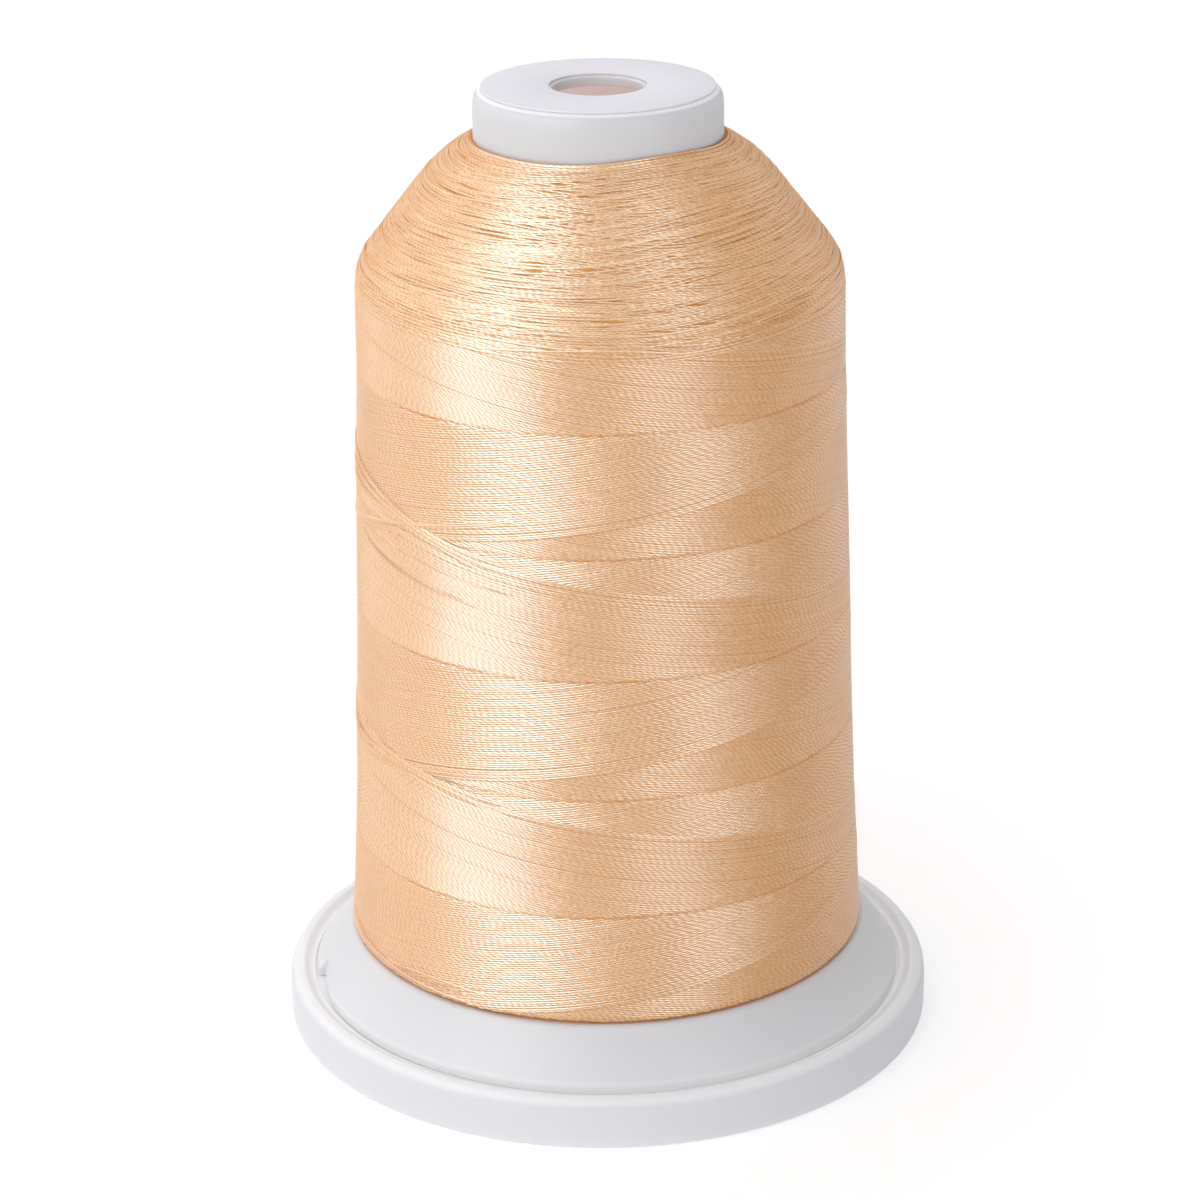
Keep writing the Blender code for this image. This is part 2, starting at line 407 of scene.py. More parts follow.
def notchAngles():
    # even columns all round, with two close columns at each notch's abrupt end
    even = evenAngles(plasticColumns)
    close = 0.002
    steps = [spoolMould["notchStart"] + pi * side + offset for side in (0, 1) for offset in (-close, close)]
    steps = np.array(steps) % (2 * pi)
    clear = np.abs(even[:, None] - steps[None, :]).min(axis=1) > 2 * close
    return np.sort(np.concatenate([even[clear], steps]))


def cutNotches(angles, radius, height):
    # near the lip the radius drops by a saw tooth of the angle, full depth at its start and none at its end
    m = spoolMould
    turned = (angles - m["notchStart"]) % pi
    tooth = np.clip(1 - turned / m["notchSweep"], 0, 1)
    nearLip = np.clip((radius - (flangeRadius - m["lipWidth"])) / m["lipWidth"], 0, 1)
    return radius - m["notchDepth"] * tooth * (nearLip * (height < m["notchBelow"])), height


def addSpool(finish):
    # one closed profile turned round the axis: cap, core, sloping flange, lip, underside, foot and bore
    m = spoolMould
    sideTop = capTop - m["edgeDepth"]
    innerTop = coreRadius(capTop) - m["wall"]
    lipBottom = m["lipTop"] - m["lip"]
    flatUnder = m["flatTop"] - m["flatThick"]
    corners = (
        (m["bore"], capTop, 0.35 * mm),
        (m["capRadius"] - 0.9 * mm, capTop, 0.35 * mm),
        (m["capRadius"] - 0.12 * mm, capTop - 0.75 * mm, 0.5 * mm),
        (m["capRadius"], sideTop - 0.4 * mm, 0.5 * mm),
        (coreRadius(m["flatTop"]), m["flatTop"], 0.3 * mm),
        (m["flatRadius"], m["flatTop"], 0.5 * mm),
        (flangeRadius - 1.4 * mm, m["lipTop"] + 1.45 * mm, 0.3 * mm),
        (flangeRadius, m["lipTop"] - 0.05 * mm, 0.3 * mm),
        (flangeRadius, lipBottom, 0.15 * mm),
        (flangeRadius - m["lipWidth"], lipBottom, 0.1 * mm),
        (m["flatRadius"] - 1.1 * mm, flatUnder, 0.4 * mm),
        (coreRadius(flatUnder), flatUnder, 0.4 * mm),
        (m["footRadius"], m["foot"], 0.2 * mm),
        (m["footRadius"] - m["wall"], m["foot"], 0.2 * mm),
        (innerTop, capTop - m["plate"], 0.5 * mm),
        (m["bore"], capTop - m["plate"], 0.2 * mm),
    )
    piece = addPiece("spoolMoulding", "spool", finish)
    turnProfile(piece.data, roundOff(corners)[::-1], notchAngles(), cutNotches)


plasticLook = {
    "colour": (0.78, 0.78, 0.80, 1.0),
    # painted light: the base ring is coloured lighter than the spool to lift the shade it gets near the floor
    "baseColourPaintedLighter": (0.82, 0.82, 0.845, 1.0),
    # painted light: the crest of the base ring is coloured lighter
    "crestPaintedLight": (0.89, 0.885, 0.90, 1.0),
    # painted light: a glow that fills the shade in the trough under the flange's lip
    "troughPaintedLight": (0.11, 0.11, 0.105, 1.0),
    # painted light: a faint bluish glow on the crest
    "crestPaintedGlow": (0.035, 0.055, 0.065, 1.0),
    # painted light: a glow on the flange towards its lip
    "lipPaintedLight": (0.085, 0.085, 0.085, 1.0),
    # painted highlight: a bright line along the cap's upper edge
    "capEdgePaintedHighlight": (0.20, 0.20, 0.20, 1.0),
    # painted light inside the core and on the bore's wall, which would be dark
    "corePaintedLight": (0.235, 0.168, 0.148, 1.0),
    "borePaintedLight": (0.05, 0.04, 0.04, 1.0),
    "smooth": 0.42,
    "grain": 0.10,
    "cloud": 0.05,
}
plateUnder = capTop - spoolMould["plate"]
plasticZones = {
    # the radii or heights between which each glow or colour comes in or goes out
    "crestIn": (38.0 * mm, 38.4 * mm),
    "crestUp": (5.2 * mm, 6.0 * mm),
    "troughIn": (35.0 * mm, 36.0 * mm),
    "troughOut": (37.0 * mm, 37.7 * mm),
    "troughUp": (2.0 * mm, 3.0 * mm),
    "lipIn": (31.5 * mm, 39.5 * mm),
    "lipEdgeIn": (flangeRadius - 0.5 * mm, flangeRadius - 0.1 * mm),
    "capEdgeIn": (13.5 * mm, 13.8 * mm),
    "capEdgeUp": (capTop - 0.45 * mm, capTop - 0.25 * mm),
    "coreOut": (13.4 * mm, 13.9 * mm),
    "coreUp": (90 * mm, 108 * mm),
    "coreEnd": (plateUnder + 0.05 * mm, plateUnder + 0.15 * mm),
    "boreOut": (5.4 * mm, 5.7 * mm),
    "boreUp": (plateUnder, plateUnder + 0.2 * mm),
}
black = (0.0, 0.0, 0.0, 1.0)


def whitePlastic(name):
    # the plastic lets some light through; painted light in its emission stands in for that light, so thin or
    # narrow places glow instead of going dark
    finish = Finish(
        name, IOR=1.49, Specular_IOR_Level=0.07, Subsurface_Weight=0.3, Subsurface_Scale=0.002,
        Subsurface_Radius=(1.0, 1.0, 1.0), Emission_Strength=1.0,
    )
    place = finish.place()
    flat = finish.vector("LENGTH", finish.vector("MULTIPLY", place, (1.0, 1.0, 0.0)), output="Value")
    height = finish.node("ShaderNodeSeparateXYZ", {}, [place], "Z")
    return finish, place, flat, height


def finishPlastic(finish, place, colour, glow):
    look = plasticLook
    cloud = finish.noise(place, 60.0, 3.0)
    finish.feed("Base Color", finish.blend(cloud * look["cloud"], colour, black))
    grain = finish.noise(place, 900.0, 3.0)
    finish.feed("Roughness", look["smooth"] + look["grain"] * grain)
    bump = finish.node("ShaderNodeBump", {}, {"Strength": 0.06, "Distance": 0.2 * mm, "Height": grain})
    finish.feed("Normal", bump)
    finish.feed("Emission Color", glow)
    return finish.material


def basePlastic():
    look, zone = plasticLook, plasticZones
    finish, place, flat, height = whitePlastic("basePlastic")
    # painted light: the crest is coloured lighter and glows, and the trough glows to fill its shade
    crest = flat.between(*zone["crestIn"]) * height.between(*zone["crestUp"])
    trough = flat.between(*zone["troughIn"]) * (1 - flat.between(*zone["troughOut"]))
    trough = trough * height.between(*zone["troughUp"])
    colour = finish.blend(crest, look["baseColourPaintedLighter"], look["crestPaintedLight"])
    glow = finish.blend(crest, black, look["crestPaintedGlow"])
    return finishPlastic(finish, place, colour, finish.blend(trough, glow, look["troughPaintedLight"]))


def spoolPlastic():
    look, zone = plasticLook, plasticZones
    finish, place, flat, height = whitePlastic("spoolPlastic")
    lipEdge = flat.between(*zone["lipEdgeIn"])
    capEdge = flat.between(*zone["capEdgeIn"]) * height.between(*zone["capEdgeUp"])
    core = (1 - flat.between(*zone["coreOut"])) * height.between(*zone["coreUp"])
    core = core * (1 - height.between(*zone["coreEnd"]))
    bore = (1 - flat.between(*zone["boreOut"])) * height.between(*zone["boreUp"])
    # painted light on the lip, its edge, the core's inside and the bore; a painted highlight on the cap's
    # edge
    glow = finish.blend(flat.between(*zone["lipIn"]), black, look["lipPaintedLight"])
    # painted light: the lip's edge glows like the trough, to fill its shade
    glow = finish.blend(lipEdge * 0.6, glow, look["troughPaintedLight"])
    glow = finish.blend(capEdge, glow, look["capEdgePaintedHighlight"])
    glow = finish.blend(core, glow, look["corePaintedLight"])
    glow = finish.blend(bore, glow, look["borePaintedLight"])
    return finishPlastic(finish, place, look["colour"], glow)


addBase(basePlastic())
addSpool(spoolPlastic())
print("plastic pieces are turned")


# Paper ring on the cap

paperRing = {
    "colour": (0.94, 0.905, 0.955, 1.0),
    "rough": 0.5,
    "gloss": 0.08,
    "inner": 5.7 * mm,
    "under": 0.02 * mm,
    "top": 0.24 * mm,
    "edge": 0.03 * mm,
    "columns": 192,
}


def addPaperRing():
    # a thin closed profile turned round the axis, with both upper edges rounded
    p = paperRing
    finish = Finish("labelPaper", Base_Color=p["colour"], Roughness=p["rough"], Specular_IOR_Level=p["gloss"])
    low, high = capTop + p["under"], capTop + p["top"]
    corners = (
        (p["inner"], high, p["edge"]),
        (labelRadius, high, p["edge"]),
        (labelRadius, low, 0),
        (p["inner"], low, 0),
    )
    piece = addPiece("paperRing", "label", finish.material)
    turnProfile(piece.data, roundOff(corners, 2)[::-1], evenAngles(p["columns"]))


addPaperRing()
print("paper ring is cut")


# Thread: the way it is wound

winding = {
    "pitch": 29.34 * mm,
    "crossAngle": radians(225.0),
    "crossHeight": 69.5 * mm,
    "strands": 104,
    "stepsPerTurn": 112,
    "halfWidth": 0.150 * mm,
    "rise": 0.080 * mm,
    "layLift": 0.10 * mm,
    "dive": 0.10,  # how much a covered strand sinks for each length that it runs on
    "seamDepth": 0.10 * mm,
    "seamWidth": 0.11 * mm,
    "proud": 0.06 * mm,
    "bundle": 0.070,  # age of the oldest strand in the raised bundle
    "newest": 0.08,  # age of the oldest strand that strays more than the others
    "shadowBesideLast": 0.012,  # how far beside the last strands painted shadow darkens the older ones, as an age
    "crossShift": 0.30,  # how far, in radians, the middle of the raised bundle lies before the crossing
    "crossSpread": 0.50,
    "oddDepth": 0.04 * mm,
    "uneven": 0.008 * mm,
    "stray": 0.016 * mm,
    "footGap": 0.12 * mm,
    "bodyTop": 94.3 * mm,
    "overrun": 2.4 * mm,  # how far strands run on under the shoulder
    "topSink": 0.06,  # how much they sink there for each length that they climb
    "tailUnder": 2.2 * mm,  # how far a strand runs on under the lays that cover it
}
windingOutline = np.array((
    # height, outer radius
    (12.10, 31.40),
    (12.35, 31.62),
    (12.9, 31.75),
    (30.0, 30.80),
    (50.0, 30.10),
    (70.0, 29.50),
    (85.0, 29.00),
    (94.0, 28.88),
    (96.2, 28.60),
    (97.8, 27.85),
    (103.0, 23.80),
    (107.0, 20.70),
    (109.2, 18.40),
    (110.5, 16.50),
    (111.3, 14.75),
    (112.25, 14.75),
)) * mm
railStep = 0.1 * mm


def smoothed(values, reach, spread):
    # each value becomes the mean of its neighbours up to reach steps away, under a bell curve of this spread
    kernel = np.exp(-0.5 * (np.arange(-reach, reach + 1) / spread) ** 2)
    padded = np.pad(values, reach, mode="reflect", reflect_type="odd")
    return np.convolve(padded, kernel / kernel.sum(), "valid")


def railCurve():
    # the outline as a rail, smooth past its first 3 mm: arc length, radius, height and outward normal
    gaps = np.hypot(*np.diff(windingOutline, axis=0).T)
    knots = np.concatenate([[0], np.cumsum(gaps)])
    even = np.arange(0, knots[-1], railStep)
    height = np.interp(even, knots, windingOutline[:, 0])
    radius = np.interp(even, knots, windingOutline[:, 1])
    first = int(3.0 * mm / railStep)
    for values in (height, radius):
        values[first:] = smoothed(values, 24, 8.0)[first:]
    slopeR = np.gradient(radius)
    slopeZ = np.gradient(height)
    length = np.hypot(slopeR, slopeZ)
    return even, radius, height, slopeZ / length, -slopeR / length


rail = railCurve()
railLength = rail[0][-1]


def onRail(distance, lift):
    # radius and height at a distance along the rail, moved out along its normal by lift
    radius, height, normalR, normalZ = (np.interp(distance, rail[0], values) for values in rail[1:])
    return radius + lift * normalR, height + lift * normalZ


def railAt(height):
    # distance along the rail at a height
    return np.interp(height, rail[2], rail[0])


def wrapped(angle):
    # the same direction from -pi to pi
    return (angle + pi) % (2 * pi) - pi


def lastLine(way):
    # the angle at height 0 of the last strand laid, of the family that rises (way 1) or falls (way -1)
    return winding["crossAngle"] - way * 2 * pi * winding["crossHeight"] / winding["pitch"]


def ages(angle, height):
    # how long ago each family of lays passed a point, in turns from 0, the last laid, to 1
    climb = 2 * pi * height / winding["pitch"]
    rising = ((lastLine(1) - angle + climb) / (2 * pi)) % 1
    falling = ((lastLine(-1) - angle - climb) / (2 * pi)) % 1
    return rising, falling


def runLength(angle, distance):
    # length walked along each strand, from 0 at its first step
    radius, height = onRail(distance, 0)
    flat = np.diff(angle, axis=1) * (radius[:, 1:] + radius[:, :-1]) / 2
    steps = np.hypot(flat, np.diff(distance, axis=1))
    return np.concatenate([np.zeros((len(angle), 1)), np.cumsum(steps, axis=1)], axis=1)


def slowWaves(count, length, knots, closed=False):
    # one smooth random curve for each strand, with the given number of turning points
    levels = chance.normal(0, 1, (count, knots + 1))
    if closed:
        levels[:, -1] = levels[:, 0]
    place = np.linspace(0, knots, length)
    left = np.minimum(place.astype(int), knots - 1)
    ease = place - left
    ease = ease * ease * (3 - 2 * ease)
    return levels[:, left] * (1 - ease) + levels[:, left + 1] * ease


def addStrands(name, finish, angle, distance, lift, keep, along, tintAndShade, halfWidth, rise, closed=False):
    # each strand is a half-round band: its centre line is given by angle and rail distance at every step, and
    # five points across it go round half an ellipse from its lower edge to its upper one; a closed strand is
    # joined where its last step meets its first
    piece = addPiece(name, "thread_pack", finish)
    mesh = piece.data
    centre = roundAxis(angle, *onRail(distance, lift))
    ahead = np.gradient(centre, axis=1)
    ahead /= np.linalg.norm(ahead, axis=-1, keepdims=True)
    normalR, normalZ = (np.interp(distance, rail[0], values) for values in rail[3:])
    outward = roundAxis(angle, normalR, normalZ)
    upward = np.cross(outward, ahead)
    upward /= np.linalg.norm(upward, axis=-1, keepdims=True)
    across = np.radians((-90.0, -48.0, 0.0, 48.0, 90.0))
    points = centre[:, :, None, :] + upward[:, :, None, :] * (halfWidth * np.sin(across))[..., None]
    points = points + outward[:, :, None, :] * (rise * np.cos(across))[:, None]
    shape = points.shape[:3]
    index = np.arange(np.prod(shape)).reshape(shape)
    quads = np.stack([index[:, :-1, :-1], index[:, 1:, :-1], index[:, 1:, 1:], index[:, :-1, 1:]], axis=-1)
    corners = quads[keep].ravel()
    if closed:
        index[:, -1] = index[:, 0]
    used, quads = np.unique(index.ravel()[corners], return_inverse=True)
    quads = quads.reshape(-1, 4)
    fillMesh(mesh, points.reshape(-1, 3)[used], quads)
    layU = np.broadcast_to(along[:, :, None], shape).ravel()[corners]
    layV = np.broadcast_to(across / pi + 0.5, shape).ravel()[corners]
    lay = mesh.uv_layers.new(name="lay")
    lay.data.foreach_set("uv", np.stack([layU, layV], axis=-1).astype(np.float32).ravel())
    # each strand's tint holds its own uneven tone together with painted shade and painted light
    shade = mesh.attributes.new("strandTintAndShade", "FLOAT", "POINT")
    shade.data.foreach_set("value", np.broadcast_to(tintAndShade[:, :, None], shape).ravel()[used].astype(np.float32))
    print(name, len(quads) * 2, "triangles")


# Thread: its look

thread = {
    "plyStep": 0.88 * mm,
    "colour": (0.86, 0.480, 0.204, 1.0),
    # painted shade: the colour of the gaps between plies and between strands
    "groove": (0.66, 0.28, 0.065, 1.0),
    # painted shade: the darkest colour, where the painted shade is strongest
    "deepShadeColour": (0.52, 0.19, 0.03, 1.0),
    # painted light: a warm glow in the shaded places of the strands and on the bed
    "glow": (0.060, 0.026, 0.002, 1.0),
    "rough": 0.50,
    "twistAlong": 0.10,
    "twistAcross": 0.28,
    "grain": 0.10,
    "grainScale": 1500.0,
    "hollow": (0.14, 0.46),  # from here to there, in plies from a ply's middle, it sinks to the gap beside it
    "edgeWidth": 0.28,
    # hollowDark: painted shade in the gap between plies; grainDark: the grain's own uneven tone
    "hollowDark": 0.85,
    "grainDark": 0.45,
    "hollowWarm": 0.3,
    "deepShade": (0.9, 1.9),  # the shades between which the deep shade colour comes in
    "dullShade": (0.3, 1.2),  # the same for the duller finish
    "warmShade": (0.0, 1.1),  # the same for the glow
    "dull": 0.35,
}
threadLooks = {
    # edge is how much painted shade darkens a strand towards its edges, and edgeStart how far from its
    # middle that starts
    "peachThread": {
        "edge": 0.15, "edgeStart": 0.22, "gloss": 0.50, "smooth": 0.29, "sheen": (0.50, 0.84, 1.0, 1.0),
    },
    "crossingThread": {
        "edge": 0.9, "edgeStart": 0.20, "gloss": 0.45, "smooth": 0.33, "sheen": (0.50, 0.84, 1.0, 1.0),
    },
    "shoulderThread": {
        "edge": 1.55, "edgeStart": 0.14, "gloss": 0.46, "smooth": 0.33, "sheen": (0.49, 0.82, 0.91, 1.0),
    },
}


def threadFinish(name):
    # two plies slant across the strand: its normal leans with the place within a ply, and painted shade
    # darkens the gap between plies and the strand's edges, as does its tint, which holds tone and painted
    # shade
    t = thread
    look = threadLooks[name]
    finish = Finish(
        name, Specular_IOR_Level=look["gloss"], Specular_Tint=look["sheen"], IOR=1.7, Emission_Strength=1.0
    )
    lay = finish.node("ShaderNodeUVMap", {"uv_map": "lay"}, {})
    along = finish.node("ShaderNodeSeparateXYZ", {}, [lay], "X")
    across = finish.node("ShaderNodeSeparateXYZ", {}, [lay], "Y")
    ply = (along + across).fraction() - 0.5  # -0.5 to 0.5 over one ply
    place = finish.place()
    grain = finish.noise(place, t["grainScale"], 2.0) - 0.5
    outward = finish.node("ShaderNodeNewGeometry", {}, {}, "Normal")
    tangent = finish.vector("NORMALIZE", finish.vector("CROSS_PRODUCT", (0.0, 0.0, 1.0), place))
    upward = finish.vector("CROSS_PRODUCT", outward, tangent)
    leanAlong = finish.scaled(tangent, ply * (2 * t["twistAlong"]) + grain * (2 * t["grain"]))
    leanAcross = finish.scaled(upward, ply * (2 * t["twistAcross"]))
    bent = finish.vector("ADD", outward, finish.vector("ADD", leanAlong, leanAcross))
    finish.feed("Normal", finish.vector("NORMALIZE", bent))
    tintAndShade = finish.node("ShaderNodeAttribute", {"attribute_name": "strandTintAndShade"}, {}, "Fac")
    hollow = ply.size().between(*t["hollow"])
    edge = (across - 0.5).size().between(look["edgeStart"], look["edgeStart"] + t["edgeWidth"])
    shade = tintAndShade * (0.5 + hollow) + edge * look["edge"]
    dark = hollow * t["hollowDark"] + shade + grain * t["grainDark"]
    colour = finish.blend(dark, t["colour"], t["groove"])
    finish.feed("Base Color", finish.blend(shade.between(*t["deepShade"]), colour, t["deepShadeColour"]))
    rough = look["smooth"] + (t["rough"] - look["smooth"]) * hollow
    finish.feed("Roughness", rough + t["dull"] * shade.between(*t["dullShade"]))
    # painted glow, standing in for light that passes through the thread, warms its shaded places
    paintedWarmth = (hollow * t["hollowWarm"] + shade).between(*t["warmShade"])
    finish.feed("Emission Color", finish.blend(paintedWarmth, black, t["glow"]))
    return finish.material


# Thread: the bed under the strands

threadBed = {
    "rough": 0.8,
    "gloss": 0.1,
    "columns": 240,
    "rowStep": 0.35 * mm,
    "neckGap": 1.1 * mm,
    "blur": 0.25 * mm,  # how far the steps at the edges of lays are smoothed
    "fade": 1.5 * mm,  # height over which they end below the shoulder
    "under": 0.015 * mm,
}


def addBed():
    # closed body: the outline, raised by how new the newest lay is at each point, and the core's side inside
    w = winding
    b = threadBed
    angles = evenAngles(b["columns"])
    neck = railLength - b["neckGap"]
    distance = np.append(np.arange(0, neck, b["rowStep"]), neck)
    angle, span = np.meshgrid(angles, distance, indexing="ij")
    total = 0
    taps = np.linspace(-1, 1, 5) * b["blur"]
    for tap in taps:
        rising, falling = ages(angle, np.interp(span + tap, rail[0], rail[2]))
        total = total + np.minimum(rising, falling)
    newest = total / len(taps)
    inBody = np.clip((w["bodyTop"] - np.interp(span, rail[0], rail[2])) / b["fade"], 0, 1)
    lift = inBody * w["layLift"] * (0.5 - newest) - w["rise"] - b["under"]
    radius, height = onRail(span, lift)
    innerLow = np.full(b["columns"], coreRadius(windingOutline[0, 0]))
    innerHigh = np.full(b["columns"], coreRadius(height[0, -1]))
    radius = np.column_stack([innerLow, radius, innerHigh])
    height = np.column_stack([height[:, 0], height, height[:, -1]])
    points = roundAxis(angles[:, None], radius, height)
    turns, corners = radius.shape
    index = np.arange(turns * corners).reshape(turns, corners)
    right = np.roll(index, -1, axis=0)
    quads = np.stack([index, right, np.roll(right, -1, axis=1), np.roll(index, -1, axis=1)], axis=-1)
    # the bed shows only in the gaps: it takes the painted shade colour of the grooves and the painted glow
    finish = Finish(
        "threadBed", Base_Color=thread["groove"], Roughness=b["rough"], Specular_IOR_Level=b["gloss"],
        Emission_Color=thread["glow"], Emission_Strength=1.0,
    )
    piece = addPiece("threadBed", "thread_pack", finish.material)
    fillMesh(piece.data, points.reshape(-1, 3), quads.reshape(-1, 4))


# Thread: the rising and falling lays of the body

# Single strands that show, by family: age, and how much lower each is and darker by painted shade, or lighter
# if below 0
oddRising = (
    (0.020, 0.5), (0.038, -0.5), (0.055, 0.6), (0.087, 0.5), (0.121, 0.4), (0.215, -0.5), (0.222, 0.5),
    (0.255, 0.6), (0.266, -0.6), (0.285, 0.5), (0.302, 0.4), (0.316, 0.3), (0.373, -0.5), (0.382, 0.4),
    (0.430, 0.3), (0.440, -0.5),
)
oddFalling = (
    (0.018, 0.8), (0.053, -0.5), (0.066, 0.4), (0.079, 0.7), (0.099, 0.4), (0.119, -0.5), (0.133, 0.4),
    (0.154, 0.6), (0.169, -0.6), (0.191, 0.8), (0.199, -0.6), (0.210, 0.4), (0.228, 0.7), (0.238, -0.5),
    (0.258, 0.4), (0.270, 0.5), (0.292, 0.7), (0.360, 0.4), (0.378, 0.4),
)
layTintAndShade = {
    "middle": 0.09,
    "waver": 0.06,
    "odd": 0.6,
    "seam": 4.4,
    "seamsFace": radians(-50),  # where the painted shade in the seams shows most
    "oddsFace": radians(-60),
    "shadowBesideLast": 0.4,
    # painted light: how much lighter the proud bundle is
    "bundle": 0.2,
}
plyLay = {
    "slant": 1.86,  # how far along the plies of a neighbour lie, for each width of a strand
    "slantWaver": 0.5,
    "hop": 0.06,
    "jumps": 0.16,  # share of the strands at which the rows jump
    "jump": 0.5,
    "drift": 0.22,
}


def bodyPaths(way):
    # angle and height of every step of every strand of one family, which climbs or falls by one pitch a turn
    w = winding
    share = np.arange(w["strands"]) / w["strands"]
    bottom = windingOutline[0, 0]
    turns = int(np.ceil((w["bodyTop"] + w["overrun"] - bottom) / w["pitch"])) + 1
    # a strand of a given age keeps angle - way * climb fixed
    foot = lastLine(way) - share * 2 * pi + way * 2 * pi * bottom / w["pitch"]
    stepTurn = 2 * pi / w["stepsPerTurn"]
    walk = np.arange(turns * w["stepsPerTurn"])
    angle = (np.floor(foot / stepTurn)[:, None] + way * walk[None, :]) * stepTurn
    height = way * (angle - lastLine(way) + share[:, None] * 2 * pi) / (2 * pi) * w["pitch"]
    if way < 0:
        angle, height = angle[:, ::-1], height[:, ::-1]
    return share, angle, height


def plyRows(angle, height, distance):
    # neighbours nest, so their plies line up in slanting rows, which drift, jump now and then, and are bent
    # by two waves of the angle and height
    w = winding
    p = plyLay
    count, length = angle.shape
    rows = np.arange(count)
    run = runLength(angle, distance)
    front = -pi / 2
    toFront = angle - front - 2 * pi * np.ceil((angle[:, :1] - front) / (2 * pi))
    atFront = np.abs(toFront).argmin(axis=1)
    order = np.argsort(height[rows, atFront])
    slant = p["slant"] + p["slantWaver"] * slowWaves(1, count, 9)[0]
    hop = chance.normal(0, p["hop"], count)
    hop = hop + np.where(chance.random(count) < p["jumps"], chance.uniform(-p["jump"], p["jump"], count), 0)
    phase = np.empty(count)
    phase[order] = np.cumsum(w["pitch"] / w["strands"] * slant / thread["plyStep"] + hop)
    bend = 0.45 * np.sin(5 * angle + 110 * height) + 0.35 * np.sin(9 * angle - 230 * height + 1)
    drift = p["drift"] * slowWaves(count, length, 40)
    return (run - run[rows, atFront][:, None]) / thread["plyStep"] + phase[:, None] + bend + drift


def seamPatches(way, angle, height):
    # the painted shade in the seams comes and goes by a wave of angle and height, and fades away from the
    # side where it shows most
    patchy = 0.65 + 0.35 * np.sin(3 * angle + 40 * way + height / mm * 0.3)
    return patchy * (0.18 + 0.82 * np.clip(0.5 + np.cos(wrapped(angle - layTintAndShade["seamsFace"])), 0, 1))


def oddStrands(odd, angle):
    # how odd every step of every strand is: the amount of its strand, which comes and goes along it
    count, length = angle.shape
    amounts = np.zeros(count)
    for age, amount in odd:
        amounts[int(round(age * count)) % count] += amount
    shown = np.clip(0.55 + 0.8 * np.cos(wrapped(angle - layTintAndShade["oddsFace"])), 0.12, 1)
    return amounts[:, None] * np.clip(0.6 + 0.6 * slowWaves(count, length, 14), 0, 1.3) * shown


def addBodyStrands(finish):
    # a strand lies the lower the older it is, dives under the lays of the other family that cover it, and
    # lies in a seam where both are of one age
    w = winding
    for family, way, odd in (("Rising", 1, oddRising), ("Falling", -1, oddFalling)):
        share, angle, height = bodyPaths(way)
        count, length = angle.shape
        rising, falling = ages(angle, height)
        other = falling if way > 0 else rising
        own = np.broadcast_to(share[:, None], other.shape)
        depth = w["pitch"] / 2
        hidden = np.where(other < own, np.minimum(own - other, other), 0) * depth
        toSeam = np.exp(-((other - own) * depth / w["seamWidth"]) ** 2)
        # the last lays stand proud in a rounded bundle near the place where the two families cross
        toCross = (wrapped(angle - w["crossAngle"]) + w["crossShift"]) / w["crossSpread"]
        nearCross = np.exp(-toCross ** 2)
        bundle = np.sin(pi * np.clip(own / w["bundle"], 0, 1)) ** 0.8 * (0.15 + 0.85 * nearCross)
        shadowBesideLast = np.exp((rising - 1) / w["shadowBesideLast"]) + np.exp((falling - 1) / w["shadowBesideLast"])
        shadowBesideLast = shadowBesideLast * nearCross
        oddness = oddStrands(odd, angle)
        lift = w["layLift"] * (0.5 - own) - w["rise"] - w["dive"] * hidden - w["seamDepth"] * toSeam
        lift = lift + w["proud"] * bundle - w["oddDepth"] * oddness
        lift = lift + w["uneven"] * slowWaves(count, length, 10)
        lift -= w["topSink"] * np.clip(height - w["bodyTop"], 0, None)
        newer = np.clip(1 - own / w["newest"], 0, 1)  # the last strands stray more than the others
        distance = railAt(height) + w["stray"] * slowWaves(count, length, 12) * (1 + 3 * newer)
        inside = (height > windingOutline[0, 0] + w["footGap"]) & (height < w["bodyTop"] + w["overrun"])
        inside &= hidden < w["tailUnder"]
        keep = inside[:, :-1] & inside[:, 1:]
        along = plyRows(angle, height, distance)
        # the strand's own tone wavers; painted shade darkens the odd low strands, the seams and the older
        # strands beside the last ones, and painted light brightens the proud bundle
        tintAndShade = layTintAndShade["middle"] + layTintAndShade["waver"] * slowWaves(count, length, 6)
        tintAndShade = tintAndShade + layTintAndShade["odd"] * np.clip(oddness, 0, None)
        tintAndShade = tintAndShade + layTintAndShade["seam"] * toSeam * seamPatches(way, angle, height)
        tintAndShade = tintAndShade + layTintAndShade["shadowBesideLast"] * np.minimum(shadowBesideLast, 1) - layTintAndShade["bundle"] * bundle
        addStrands(
            "threadLays" + family, finish, angle, distance, lift, keep, along, tintAndShade, w["halfWidth"], w["rise"]
        )
